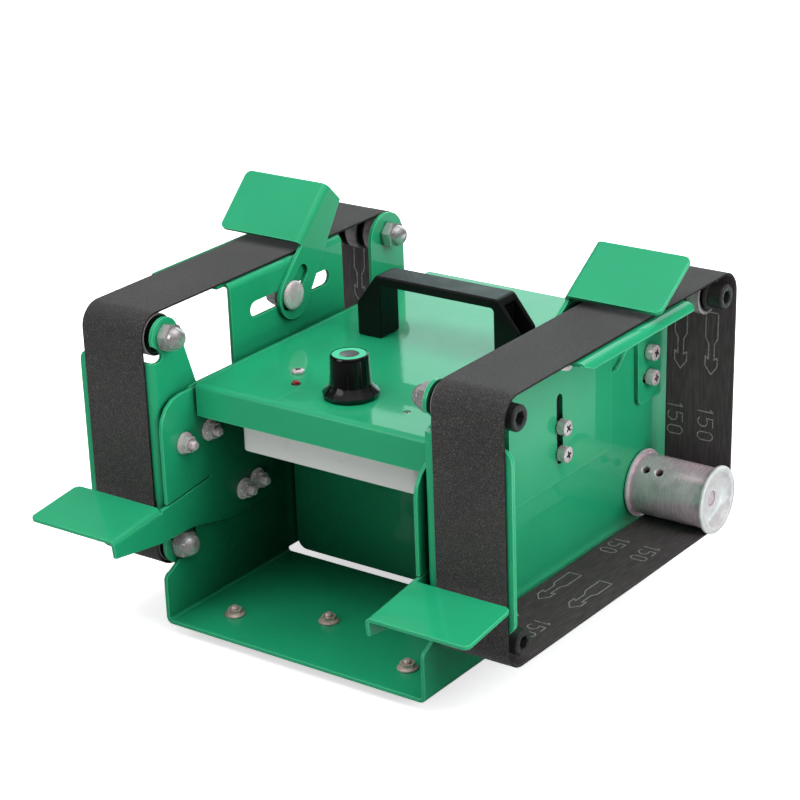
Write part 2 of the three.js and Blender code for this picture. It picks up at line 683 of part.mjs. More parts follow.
function carryHandle() {
  const { x, y, depth, half, top, bar, post, shoulder } = HANDLE;
  const low = COVER_TOP_Z + 0.2;
  const arch = slab('y', y, y + depth, rounded([
    [x - half, low], [x - half + post, low], [x - half + post, top - bar, 2],
    [x + half - post, top - bar, 2], [x + half - post, low], [x + half, low],
    [x + half, top - shoulder.down, 3], [x + half - shoulder.in, top, 3],
    [x - half + shoulder.in, top, 3], [x - half, top - shoulder.down, 3],
  ]));
  const pockets = [-1, 1].map((side) => slab('y', y + 3, y + depth - 3, [
    [x + side * (half + 1), low + 3], [x + side * (half + 1), top - shoulder.down + 1],
    [x + side * (half - shoulder.in + 3.5), top - 3], [x + side * (half - shoulder.in + 0.8), top - 5],
    [x + side * (half - post + 3), top - bar - 6], [x + side * (half - post + 3), low + 3],
  ]));
  return cut(arch, ...pockets);
}

// ---- Assembly -----------------------------------------------------------------------------

function material(finish) {
  const [color, roughness, metalness] = COLOURS[finish];
  return new THREE.MeshStandardMaterial({ color, roughness, metalness });
}

function mesh(name, solid, finish) {
  const part = new THREE.Mesh(toGeometry(solid), material(finish));
  part.name = name;
  return part;
}

function sandingHead(side) {
  const head = new THREE.Group();
  const add = (name, solid, finish, y = 0, z = 0, tilt = 0) => {
    const placed = side === 'left' ? solid.mirror([1, 0, 0]) : solid;
    const part = mesh(`${name}_${side}`, placed, finish);
    part.position.set(0, y, z);
    part.rotation.x = tilt;
    head.add(part);
  };
  add('head_plate', headPlate(), 'green');
  add('rest_plate', restPlate(), 'green');
  add('top_platen', topPlaten(), 'green');
  add('tension_arm', tensionArm(), 'green');
  add('sanding_belt', sandingBelt(side), 'belt');
  add('drive_wheel', driveWheel(), 'aluminium');
  const turningPoints = {
    front_top: [FRONT_Y, TOP_Z, HEAD_PLATE_X],
    front_bottom: [FRONT_Y, BOTTOM_Z, HEAD_PLATE_X],
    rear: [REAR_Y, TOP_Z, OUTER_SHEET_X],
  };
  for (const [place, [y, z, sheetX]] of Object.entries(turningPoints)) {
    add(`${place}_roller`, bearingRoller(), 'steel', y, z);
    add(`${place}_axle_bolt`, axleBolt(sheetX - RUNNING_GAP), 'blackSteel', y, z);
    add(`${place}_acorn_nut`, acornNut(sheetX - RUNNING_GAP), 'steel', y, z);
  }
  PLATEN_SCREW_Z.forEach((z, i) => add(`platen_screw_${i + 1}`, sheetScrew(), 'steel', PLATEN_SCREW_Y, z));
  add('arm_pivot_screw', sheetScrew(), 'steel', ARM_PIVOT.y, ARM_PIVOT.z);
  add('arm_clamp_screw', sheetScrew(), 'steel', ARM_PIVOT.y, ARM_CLAMP_Z);
  const tilt = REST_TILT[side];
  const boltY = REST_BOLT_Y[side];
  const slide = REST_SLIDE[side];
  add('rest_carriage_bolt', carriageBolt(), 'steel', boltY, BOLT_SLOT_Z, tilt);
  add('rest_clamp_nut', clampNut(), 'steel', boltY, BOLT_SLOT_Z);
  const restY = boltY + slide * Math.cos(tilt);
  const restZ = BOLT_SLOT_Z + slide * Math.sin(tilt);
  add('top_rest', topRest(), 'green', restY, restZ, tilt);
  return head;
}

function feet() {
  const group = new THREE.Group();
  for (const [end, y] of Object.entries(FOOT_Y)) {
    for (const [side, x] of [['left', -FOOT_X], ['right', FOOT_X]]) {
      const part = mesh(`foot_${end}_${side}`, foot(), 'rubber');
      part.position.set(x, y, 0);
      group.add(part);
    }
  }
  return group;
}

const sander = new THREE.Group();
sander.add(
  mesh('base_channel', baseChannel(), 'green'),
  mesh('bulkhead', bulkhead(), 'green'),
  mesh('motor_cradle', motorCradle(), 'green'),
  mesh('motor_body', motorBody(), 'aluminium'),
  mesh('motor_shaft', motorShaft(), 'steel'),
  mesh('top_cover', topCover(), 'green'),
  mesh('controller_box', controllerBox(), 'greyPlastic'),
  mesh('potentiometer', potentiometer(), 'steel'),
  mesh('power_led', powerLed(), 'red'),
  mesh('speed_knob', speedKnob(), 'blackPlastic'),
  mesh('carry_handle', carryHandle(), 'blackPlastic'),
  mesh('power_jack', powerJack(), 'blackPlastic'),
  feet(),
  sandingHead('left'),
  sandingHead('right'),
);

// Bring the middle of the bounding box over the origin, and the feet's undersides to the floor
const middle = new THREE.Box3().setFromObject(sander).getCenter(new THREE.Vector3());
sander.position.set(0, -middle.y, FOOT_HEIGHT);

export default sander;
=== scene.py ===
# The looks of a bench-top sander with two belt heads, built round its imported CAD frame.
# Blender is in metres. Pieces are drawn in millimetres and scaled as they are placed.

import json
import math

import bmesh
import bpy
from mathutils import Matrix, Vector

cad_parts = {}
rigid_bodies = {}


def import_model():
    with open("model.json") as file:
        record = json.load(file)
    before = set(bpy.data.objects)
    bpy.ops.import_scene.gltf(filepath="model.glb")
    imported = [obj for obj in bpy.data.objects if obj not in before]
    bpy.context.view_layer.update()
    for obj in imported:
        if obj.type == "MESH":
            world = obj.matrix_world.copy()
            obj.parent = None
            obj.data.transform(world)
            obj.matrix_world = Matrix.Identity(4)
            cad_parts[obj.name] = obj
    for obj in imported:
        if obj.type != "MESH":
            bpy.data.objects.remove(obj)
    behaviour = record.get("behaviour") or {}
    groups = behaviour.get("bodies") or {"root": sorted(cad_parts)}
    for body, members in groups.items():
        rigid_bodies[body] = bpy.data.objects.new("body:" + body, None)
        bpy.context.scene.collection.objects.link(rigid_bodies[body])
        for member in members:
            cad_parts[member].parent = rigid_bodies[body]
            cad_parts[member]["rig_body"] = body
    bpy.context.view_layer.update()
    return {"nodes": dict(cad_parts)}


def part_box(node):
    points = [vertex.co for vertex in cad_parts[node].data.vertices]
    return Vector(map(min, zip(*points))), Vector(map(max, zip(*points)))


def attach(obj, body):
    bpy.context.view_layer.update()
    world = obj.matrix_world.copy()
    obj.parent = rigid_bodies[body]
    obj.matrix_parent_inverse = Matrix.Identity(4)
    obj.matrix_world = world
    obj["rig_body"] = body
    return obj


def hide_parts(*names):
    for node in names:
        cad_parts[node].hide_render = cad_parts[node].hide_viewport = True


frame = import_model()

MM = 0.001
SIDES = {"left": -1, "right": 1}
scene = bpy.context.scene


def centre(node):
    low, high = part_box(node)
    return (low + high) / 2


# Machine millimetres: Y 0 at the front rollers' axis, Z 0 at the underside of the base
AXIS_Y = centre("front_top_roller_right").y
BASE_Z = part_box("base_channel")[0].z


def at(x, y, z):
    return Vector((x * MM, AXIS_Y + y * MM, BASE_Z + z * MM))


def top_of(node):
    return (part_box(node)[1].z - BASE_Z) / MM


# ---- Materials ----------------------------------------------------------------------------


def linear(colour):
    return tuple(((c + 0.055) / 1.055) ** 2.4 if c > 0.04045 else c / 12.92 for c in (v / 255 for v in colour)) + (1,)


class Finish:
    """A procedural material in the making. Textures use the object's own coordinates, in metres."""

    def __init__(self, name, **inputs):
        self.material = bpy.data.materials.new(name)
        self.material.use_nodes = True
        self.nodes = self.material.node_tree.nodes
        self.links = self.material.node_tree.links
        self.nodes.clear()
        self.shader = self.node("ShaderNodeBsdfPrincipled")
        output = self.node("ShaderNodeOutputMaterial")
        self.links.new(self.shader.outputs["BSDF"], output.inputs["Surface"])
        self.place = self.node("ShaderNodeTexCoord").outputs["Object"]
        self.set(**inputs)

    def node(self, kind, inputs=(), **properties):
        made = self.nodes.new(kind)
        for key, value in properties.items():
            setattr(made, key, value)
        for key, value in dict(inputs).items():
            if isinstance(value, bpy.types.NodeSocket):
                self.links.new(value, made.inputs[key])
            else:
                made.inputs[key].default_value = value
        return made

    def set(self, **inputs):
        for key, value in inputs.items():
            socket = self.shader.inputs[key.replace("_", " ")]
            if isinstance(value, bpy.types.NodeSocket):
                self.links.new(value, socket)
            else:
                socket.default_value = value
        return self

    def stretched(self, x, y, z):
        return self.node("ShaderNodeMapping", {"Vector": self.place, "Scale": (x, y, z)}).outputs[0]

    def noise(self, scale, detail=2.0, place=None):
        inputs = {"Vector": place or self.place, "Scale": scale, "Detail": detail}
        return self.node("ShaderNodeTexNoise", inputs).outputs["Fac"]

    def cells(self, scale):
        return self.node("ShaderNodeTexVoronoi", {"Vector": self.place, "Scale": scale}).outputs["Distance"]

    def between(self, value, low, high, to_low=0.0, to_high=1.0):
        inputs = {"Value": value, 1: low, 2: high, 3: to_low, 4: to_high}
        return self.node("ShaderNodeMapRange", inputs).outputs["Result"]

    def maths(self, operation, a, b=0.0):
        return self.node("ShaderNodeMath", {0: a, 1: b}, operation=operation).outputs[0]

    def mix(self, share, first, second):
        made = self.node("ShaderNodeMix", {0: share, 6: first, 7: second}, data_type="RGBA")
        return made.outputs[2]

    def bump(self, height, distance, strength=1.0, below=None):
        inputs = {"Height": height, "Distance": distance, "Strength": strength}
        if below:
            inputs["Normal"] = below
        return self.node("ShaderNodeBump", inputs).outputs["Normal"]

    def edges(self, radius):
        """0 on a flat face, rising to 1 along an outer or inner edge."""
        soft = self.node("ShaderNodeBevel", {"Radius": radius}, samples=4).outputs["Normal"]
        true = self.node("ShaderNodeNewGeometry").outputs["True Normal"]
        dot = self.node("ShaderNodeVectorMath", {0: soft, 1: true}, operation="DOT_PRODUCT").outputs["Value"]
        return self.between(dot, 0.985, 0.85)


def paint(name, colour, depth=1.0):
    """Glossy powder coat: orange peel under a clear sheen, a painted highlight along the sheet's edges, painted shade
    in its hollows.
    """
    f = Finish(name)
    base = linear(colour)
    # Painted highlight: a pale green mixed in along the edges, standing for light caught by the rolled sheet edges.
    pale = tuple(min(1, c * 1.7 + 0.09) for c in base[:3]) + (1,)
    deep = tuple(c * 0.93 for c in base[:3]) + (1,)
    cloudy = f.mix(f.between(f.noise(22, 3), 0.35, 0.65), deep, base)
    edge = f.edges(0.0008)
    edge_highlighted = f.mix(f.maths("MULTIPLY", edge, 0.9), cloudy, pale)
    chips = f.maths("MULTIPLY", edge, f.between(f.noise(420, 4), 0.69, 0.73))
    chipped = f.mix(chips, edge_highlighted, linear((150, 176, 162)))
    coloured = f.mix(f.between(f.noise(2600, 1), 0.80, 0.84, 0, 0.35), chipped, deep)
    # Painted shade: ambient occlusion mixes the coat towards near-black in hollows and between parts.
    hollow = f.node("ShaderNodeAmbientOcclusion", {"Distance": 0.18}, samples=6).outputs["AO"]
    normal = f.node("ShaderNodeNewGeometry").outputs["True Normal"]
    # Faces that look up are spared some of the painted shade, as if lit from above.
    lit_from_above = f.between(f.node("ShaderNodeSeparateXYZ", {0: normal}).outputs["Z"], 0.5, 1.0, 0.0, 0.12)
    shaded = f.mix(f.between(f.maths("ADD", hollow, lit_from_above), 0.15, 0.37), tuple(c * 0.06 for c in base[:3]) + (1,), coloured)
    peel = f.bump(f.noise(420, 2), 0.00008 * depth, 0.07)
    grain = f.bump(f.noise(3200, 1), 0.00003, 0.3, peel)
    f.set(Base_Color=shaded, Roughness=f.between(f.noise(60, 4), 0.3, 0.7, 0.32, 0.42), Normal=grain)
    f.set(Specular_IOR_Level=0.15, Coat_Weight=0.85, Coat_Roughness=0.03, Coat_IOR=1.45, Coat_Normal=peel)
    return f.material


def metal(name, colour, rough, stretch=(1, 1, 1), scale=900, metallic=1.0, spots=None, depth=0.00002, marked=0.35):
    """Bare or plated metal with machining marks, small stains and a roughness that wanders."""
    f = Finish(name)
    marks = f.noise(scale, 3, f.stretched(*stretch))
    stain = f.between(f.noise(160, 4), 0.45, 0.75)
    dull = tuple(c * 0.72 for c in linear(colour)[:3]) + (1,)
    coloured = f.mix(stain, linear(colour), linear(spots) if spots else dull)
    f.set(Base_Color=f.mix(f.between(marks, 0.35, 0.65, 0, marked), coloured, dull), Metallic=metallic)
    f.set(Roughness=f.between(marks, 0.3, 0.7, rough * 0.75, rough * 1.3), Normal=f.bump(marks, depth, 0.5))
    return f.material


def plastic(name, colour, rough, grain=1500, depth=0.00003, coat=0.0, scuffs=(60, 60, 62), shine=0.5):
    """Moulded plastic: spark-eroded grain, soft scuffs and slightly worn edges."""
    f = Finish(name)
    texture = f.noise(grain, 2)
    scuff = f.between(f.noise(90, 6, f.stretched(1, 3, 1)), 0.62, 0.72, 0, 0.16)
    worn = f.maths("MAXIMUM", scuff, f.maths("MULTIPLY", f.edges(0.0006), 0.16))
    f.set(Base_Color=f.mix(worn, linear(colour), linear(scuffs)), Normal=f.bump(texture, depth, 0.4))
    f.set(Roughness=f.between(f.noise(140, 3), 0.3, 0.7, rough * 0.85, rough * 1.2), Coat_Weight=coat)
    f.set(Coat_Roughness=0.04, Specular_IOR_Level=shine)
    return f.material


def abrasive(name):
    """Fine dark grit: packed grains, a few pale specks painted as if they glint, slightly polished in streaks along the
    belt.
    """
    f = Finish(name)
    grains = f.cells(1900)
    fine = f.noise(5200, 2)
    broad = f.between(f.noise(26, 4), 0.35, 0.7)
    dark = f.mix(broad, linear((38, 38, 38)), linear((45, 44, 44)))
    lit = f.mix(f.between(grains, 0.05, 0.40), linear((86, 82, 81)), dark)
    # Painted highlight: sparse pale specks stand for grains that glint.
    painted_glints = f.between(f.noise(2900, 0), 0.69, 0.75, 0, 0.45)
    f.set(Base_Color=f.mix(painted_glints, lit, linear((138, 136, 133))), Roughness=f.between(fine, 0.3, 0.7, 0.62, 0.9))
    height = f.maths("ADD", f.maths("MULTIPLY", grains, -1.0), f.maths("MULTIPLY", fine, 0.5))
    f.set(Normal=f.bump(height, 0.00018, 0.85), Specular_IOR_Level=0.35, Sheen_Weight=0.12, Sheen_Roughness=0.45)
    return f.material


def cloth(name):
    """The belt's woven back, sized dark grey, with a twill and lengthwise slubs."""
    f = Finish(name)
    wave = {"Vector": f.place, "Scale": 560, "Distortion": 1.5, "Detail": 2}
    across = f.node("ShaderNodeTexWave", wave, bands_direction="X").outputs["Fac"]
    along = f.node("ShaderNodeTexWave", {**wave, "Scale": 480}, bands_direction="DIAGONAL").outputs["Fac"]
    weave = f.maths("MULTIPLY", across, along)
    slub = f.between(f.noise(300, 3, f.stretched(3, 0.3, 0.3)), 0.4, 0.7)
    shade = f.mix(slub, linear((66, 58, 62)), linear((84, 76, 78)))
    f.set(Base_Color=f.mix(f.maths("MULTIPLY", weave, 0.4), shade, linear((100, 98, 96))), Roughness=0.86)
    f.set(Normal=f.bump(weave, 0.00012, 0.6), Specular_IOR_Level=0.3)
    return f.material


def ink(name):
    f = Finish(name)
    missing = f.between(f.noise(1500, 3), 0.42, 0.62)
    f.set(Base_Color=f.mix(missing, linear((168, 165, 162)), linear((112, 110, 107))), Roughness=0.8)
    f.set(Normal=f.bump(f.noise(2500, 2), 0.00005, 0.5))
    return f.material


def lamp(name):
    f = Finish(name, Roughness=0.12, Transmission_Weight=0.35, IOR=1.5, Coat_Weight=1.0)
    f.set(Base_Color=f.mix(f.noise(700, 2), linear((150, 8, 12)), linear((110, 4, 8))))
    f.set(Emission_Color=linear((200, 10, 12)), Emission_Strength=0.12, Normal=f.bump(f.noise(900, 1), 0.00002, 0.2))
    return f.material


GREEN = paint("green_powder_coat", (31, 156, 108))
GRIT = abrasive("black_grit")
CLOTH = cloth("belt_cloth_back")
BELT_EDGE = plastic("belt_cut_edge", (30, 28, 28), 0.8, 2600, 0.0001, scuffs=(96, 90, 84))
INK = ink("belt_print")
TURNED = metal("turned_aluminium", (230, 204, 216), 0.24, (9, 0.25, 0.25), 420, 0.38, depth=0.000003, marked=0.06)
FACED = metal("faced_aluminium", (236, 233, 235), 0.2, (1, 1, 1), 500, 0.4, (214, 212, 213))
# Painted shade: a dark grey for the inside of cross recesses, where the plated steel lies in shade.
SHADE = plastic("recess_painted_shade", (74, 70, 68), 0.4)
MOTOR = metal("motor_can", (150, 150, 152), 0.4, (4, 1, 1), 300, 0.7)
OXIDE = metal("black_oxide", (62, 61, 62), 0.34, (3, 1, 1), 700, 0.55, (74, 70, 68))
RACE = metal("ground_bearing_steel", (182, 168, 174), 0.2, (6, 0.4, 0.4), 700, 0.55, marked=0.2)
SHIELD = metal("bearing_shield", (96, 94, 92), 0.45, (1, 1, 1), 500)
POLISHED = metal("stainless", (214, 208, 210), 0.15, (1, 1, 1), 260, 0.75, (190, 184, 186), 0.000006)
ZINC = metal("zinc_plate", (230, 215, 220), 0.24, (1, 1, 1), 500, 0.5, (206, 200, 196))
BRASSY = metal("yellow_zinc", (206, 186, 178), 0.3, (1, 1, 1), 700, 0.45, (158, 136, 126))
HANDLE = plastic("handle_nylon", (15, 14, 15), 0.3, 1300, 0.00005, scuffs=(44, 44, 45), shine=0.2)
GLOSS = plastic("knob_gloss", (5, 5, 6), 0.14, 900, 0.00001, 0.7, (30, 30, 32), 0.3)
GREY = plastic("controller_housing", (196, 198, 196), 0.5, 1100, 0.00005, scuffs=(150, 150, 146), shine=0.2)
KNOB_GREEN = plastic("knob_ring", (62, 196, 148), 0.3, 900, 0.00001, 0.3, (110, 214, 176))
KNOB_GREY = plastic("knob_centre", (74, 76, 76), 0.4, 1200, 0.00003, scuffs=(110, 110, 110))
RUBBER = plastic("foot_rubber", (28, 28, 29), 0.85, 1100, 0.00008, scuffs=(74, 72, 70))
BLACK = plastic("black_plastic", (22, 22, 23), 0.5)
RED_WIRE = plastic("red_wire", (150, 22, 20), 0.45, 1400, 0.00002, scuffs=(186, 90, 84))
LAMP = lamp("red_lamp")
DARK = plastic("recess_dark", (12, 12, 12), 0.8)


# ---- Carried-over CAD solids --------------------------------------------------------------


def dress(node, material, edge=0.3, segments=2):
    """Gives a CAD node its finish, and rolls its sharp edges with modifiers; its own mesh stays as packed."""
    piece = frame["nodes"][node]
    mesh = piece.data
    mesh.materials.clear()
    mesh.materials.append(material)
    if "custom_normal" in mesh.attributes:
        mesh.attributes.remove(mesh.attributes["custom_normal"])
    mesh.shade_smooth()
    weld = piece.modifiers.new("weld", "WELD")
    weld.merge_threshold = 0.000002
    flat = piece.modifiers.new("flat", "DECIMATE")
    flat.decimate_type = "DISSOLVE"
    flat.angle_limit = math.radians(0.6)
    rolled = piece.modifiers.new("rolled", "BEVEL")
    rolled.limit_method = "ANGLE"
    rolled.angle_limit = math.radians(40)
    rolled.width = edge * MM
    rolled.segments = segments
    rolled.miter_outer = "MITER_ARC"
    normals = piece.modifiers.new("normals", "WEIGHTED_NORMAL")
    normals.keep_sharp = True
    return piece


for node in ("base_channel", "bulkhead", "motor_cradle", "top_cover"):
    dress(node, GREEN, 0.35)
for side in SIDES:
    for sheet in ("head_plate", "rest_plate", "top_platen", "tension_arm", "top_rest"):
        dress(f"{sheet}_{side}", GREEN, 0.4)
    for end in ("front", "rear"):
        dress(f"foot_{end}_{side}", RUBBER, 0.9, 3)
dress("motor_shaft", ZINC, 0.2)
dress("motor_body", MOTOR, 0.6)
dress("controller_box", GREY, 0.5)
dress("potentiometer", ZINC, 0.2)
dress("power_led", LAMP, 0.1)
dress("carry_handle", HANDLE, 1.1, 4)
dress("power_jack", BLACK, 0.4)


# ---- Mesh tools ---------------------------------------------------------------------------


def facing(origin, direction, spin=0.0):
    """Takes local millimetres to the frame, with local X along a direction from an origin."""
    x = Vector(direction).normalized()
    side = Vector((0, 0, 1)) if abs(x.z) < 0.9 else Vector((0, 1, 0))
    y = side.cross(x).normalized()
    turn = Matrix((x, y, x.cross(y))).transposed().to_4x4()
    return Matrix.Translation(origin) @ turn @ Matrix.Rotation(spin, 4, "X") @ Matrix.Scale(MM, 4)


def revolve(bm, rings, count=48, closed=False, bands=None):
    """Turns rings about local X. A ring is (x, radius), or a function of the angle that returns them."""
    angles = [2 * math.pi * i / count for i in range(count)]
    loops = []
    for ring in rings:
        shape = ring if callable(ring) else (lambda angle, fixed=ring: fixed)
        if not callable(ring) and ring[1] == 0:
            loops.append([bm.verts.new((ring[0], 0, 0))])
            continue
        points = [(angle, *shape(angle)) for angle in angles]
        loops.append([bm.verts.new((x, r * math.cos(a), r * math.sin(a))) for a, x, r in points])
    pairs = list(zip(loops, loops[1:])) + ([(loops[-1], loops[0])] if closed else [])
    for number, (first, second) in enumerate(pairs):
        for i in range(count):
            j = (i + 1) % count
            corners = [first[i % len(first)], first[j % len(first)], second[j % len(second)], second[i % len(second)]]
            corners = list(dict.fromkeys(corners))
            if len(corners) > 2:
                bm.faces.new(corners).material_index = (bands or {}).get(number, 0)


def polygon(x, flats, sides=6, chamfer=None, soft=0.0):
    """A ring that follows a regular polygon. With a chamfer radius, its corners fall back towards that circle."""

    def ring(angle):
        step = 2 * math.pi / sides
        radius = flats / 2 / math.cos((angle + step / 2) % step - step / 2)
        radius = radius * (1 - soft) + flats / 2 * soft
        drop = max(0.0, radius - abs(chamfer)) * 0.55 if chamfer else 0.0
        return x - math.copysign(drop, chamfer or 1), radius

    return ring


def finish_piece(name, bm, materials, body, matrix=None, smooth=32):
    if matrix:
        bm.transform(matrix)
    bmesh.ops.recalc_face_normals(bm, faces=bm.faces[:])
    mesh = bpy.data.meshes.new(name)
    bm.to_mesh(mesh)
    bm.free()
    for material in materials:
        mesh.materials.append(material)
    mesh.shade_smooth()
    mesh.set_sharp_from_angle(angle=math.radians(smooth))
    piece = bpy.data.objects.new(name, mesh)
    scene.collection.objects.link(piece)
    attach(piece, body)
    return piece


def turned(name, rings, materials, body, slot, matrix, **options):
    bm = bmesh.new()
    revolve(bm, rings, **options)
    return finish_piece(name, bm, materials, body, matrix)


def carve(piece, cutters):
    """Cuts closed shapes out of a piece."""
    tool_mesh = bpy.data.meshes.new("cutter")
    cutters.to_mesh(tool_mesh)
    cutters.free()
    for material in piece.data.materials:
        tool_mesh.materials.append(material)
    tool = bpy.data.objects.new("cutter", tool_mesh)
    scene.collection.objects.link(tool)
    cut = piece.modifiers.new("cut", "BOOLEAN")
    cut.operation, cut.solver, cut.object = "DIFFERENCE", "EXACT", tool
    bpy.context.view_layer.update()
    result = bpy.data.meshes.new_from_object(piece.evaluated_get(bpy.context.evaluated_depsgraph_get()))
    piece.modifiers.clear()
    result.shade_smooth()
    result.set_sharp_from_angle(angle=math.radians(32))
    piece.data = result
    bpy.data.objects.remove(tool)
    return piece


def body_of(node):
    return frame["nodes"][node]["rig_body"]


# ---- Fasteners ----------------------------------------------------------------------------


def seat(node, outward):
    """The point on a fastener's axis at the sheet, and its side's sign. The sheet is at the end that outward names."""
    low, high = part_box(node)
    sign = 1 if low.x > 0 else -1
    near, far = sorted((abs(low.x), abs(high.x)))
    middle = (low + high) / 2
    return Vector((sign * (far if outward else near), middle.y, middle.z)), sign


def acorn_nut(node):
    place, sign = seat(node, True)
    dome = [(6.0 + 5.0 * math.sin(a), 5.8 * math.cos(a) ** 0.8) for a in (math.radians(d) for d in range(4, 88, 7))]
    rings = [
        (8, 0), (8, 4.1), (0.4, 4.1), (0, 4.5), polygon(0, 13, chamfer=-6.6), polygon(5.6, 13, chamfer=6.5),
        (5.7, 6.1), (5.85, 5.8), *dome, (11, 0),
    ]
    piece = turned(
        f"{node}_look", rings, [POLISHED], body_of(node), "polished_steel", facing(place, (-sign, 0, 0), 0.26), count=72
    )
    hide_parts(node)


REAR_WASHER = 5.4


def axle_bolt(node):
    low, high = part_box(node)
    sign = 1 if low.x > 0 else -1
    near, far = sorted((abs(low.x) / MM, abs(high.x) / MM))
    middle = (low + high) / 2
    face = far - 8
    collar = face - (7.2 if "front" in node else 7.2 - 2 * (REAR_WASHER - 3))
    knurl = lambda x, radius: lambda a: (x, radius - 0.13 * abs(math.sin(24 * a)))
    rings = [
        (near, 0), (near, 3.3), (near + 0.7, 4), (collar, 4), (collar, 7.5), (collar + 0.4, 8),
        (face - 0.5, 8), (face, 7.6), (face, 6.2), (face + 0.3, 6.5), knurl(face + 0.9, 6.5),
        knurl(far - 1.3, 6.5), (far - 0.8, 6.4), (far - 0.1, 5.9), (far, 5.6), (far, 3.9),
        polygon(far - 0.4, 6.2), polygon(far - 4, 6.2), (far - 4.6, 0),
    ]
    place = Vector((0, middle.y, middle.z))
    piece = turned(
        f"{node}_look", rings, [OXIDE], body_of(node), "black_bolt_steel", facing(place, (sign, 0, 0), 0.4), count=96
    )
    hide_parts(node)


def bearing_stack(node):
    low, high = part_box(node)
    sign = 1 if low.x > 0 else -1
    start = min(abs(low.x), abs(high.x)) / MM
    middle = (low + high) / 2
    bm = bmesh.new()
    washer_width = 3 if "front" in node else REAR_WASHER
    rim = 1 if "front" in node else 0
    for number in range(3):
        s = start + (7 + washer_width) * number
        e = s + 7
        race = [
            (s, 4.1), (s, 5.5), (s + 0.15, 5.7), (s + 0.4, 5.8), (s + 0.4, 9.1), (s + 0.1, 9.3), (s, 9.5), (s, 10.5),
            (s + 0.15, 10.85), (s + 0.5, 11), (e - 0.5, 11), (e - 0.15, 10.85), (e, 10.5), (e, 9.5), (e - 0.1, 9.3),
            (e - 0.4, 9.1), (e - 0.4, 5.8), (e - 0.15, 5.7), (e, 5.5), (e, 4.1),
        ]
        revolve(bm, race, 64, True, {3: 1, 4: rim, 5: rim, 6: rim, 15: 1})
        if number < 2:
            w = washer_width
            washer = [(e, 4.1), (e, 6.3), (e + 0.2, 6.5), (e + w - 0.2, 6.5), (e + w, 6.3), (e + w, 4.1)]
            revolve(bm, washer, 32, True, {i: 2 for i in range(6)})
    place = Vector((0, middle.y, middle.z))
    piece = finish_piece(
        f"{node}_look", bm, [RACE, SHIELD, OXIDE], body_of(node), facing(place, (sign, 0, 0))
    )
    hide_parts(node)


def cross_recess(bottom, top, arm, half_width):
    """A cross-shaped cutter that narrows as it goes down. Its faces take a screw's second material, the recess's
    painted shade.
    """
    bm = bmesh.new()
    quarter = [(arm, -half_width), (arm, half_width), (half_width, half_width)]
    outline = [Matrix.Rotation(turn * math.pi / 2, 2) @ Vector(p) for turn in range(4) for p in quarter]
    rings = [[bm.verts.new((x, p.x * s, p.y * s)) for p in outline] for x, s in ((bottom, 0.45), (top, 1.0))]
    bm.faces.new(rings[0][::-1])
    bm.faces.new(rings[1])
    for i in range(12):
        j = (i + 1) % 12
        bm.faces.new((rings[0][i], rings[0][j], rings[1][j], rings[1][i]))
    for face in bm.faces:
        face.material_index = 1
    return bm


def machine_screw(name, place, direction, body, radius=4.25, height=5.0, shank=4.6, spin=0.5, dome=0.5, finish=None):
    """A screw with a round head and a cross recess, coloured inside with painted shade."""
    crown = [(height - dome + dome * math.sin(a), (radius - 0.5) + 0.5 * math.cos(a)) for a in (0.4, 0.9, 1.4)]
    rings = [
        (-shank, 0), (-shank, 2), (-shank + 0.5, 2.5), (0, 2.5), (0, radius - 0.3), (0.25, radius),
        (height - dome, radius), *crown, (height + dome * 0.3, radius * 0.5), (height + dome * 0.35, 0),
    ]
    if shank == 0:
        rings = [(0, 0)] + rings[4:]
    matrix = facing(place, direction, spin)
    piece = turned(name, rings, [finish or ZINC, SHADE], body, "plated_steel", matrix, count=48)
    tool = cross_recess(height - 1.9, height + 1.5, radius * 0.66, radius * 0.2)
    tool.transform(matrix)
    return carve(piece, tool)


def flange_nut(bm, thread=2.5, flats=8.0, flange=5.9, height=5.0, tip=3.4):
    """A flange nut on the end of a threaded stud, seated at local X 0."""
    body = [
        (0, thread), (0, flange - 0.3), (0.3, flange), (0.9, flange), (1.3, flange - 0.5), (1.7, flats * 0.6),
        polygon(1.9, flats), polygon(height, flats, chamfer=flats * 0.5), (height, flats * 0.40), (height - 0.5, thread),
    ]
    revolve(bm, body, 72, True)
    stud = [(0.2, 0), (0.2, thread * 0.96)]
    x = height - 0.6
    while x < height + tip - 0.9:
        stud += [(x, thread * 0.84), (x + 0.4, thread)]
        x += 0.8
    stud += [(height + tip - 0.5, thread * 0.9), (height + tip, thread * 0.68), (height + tip, 0)]
    revolve(bm, stud, 24)


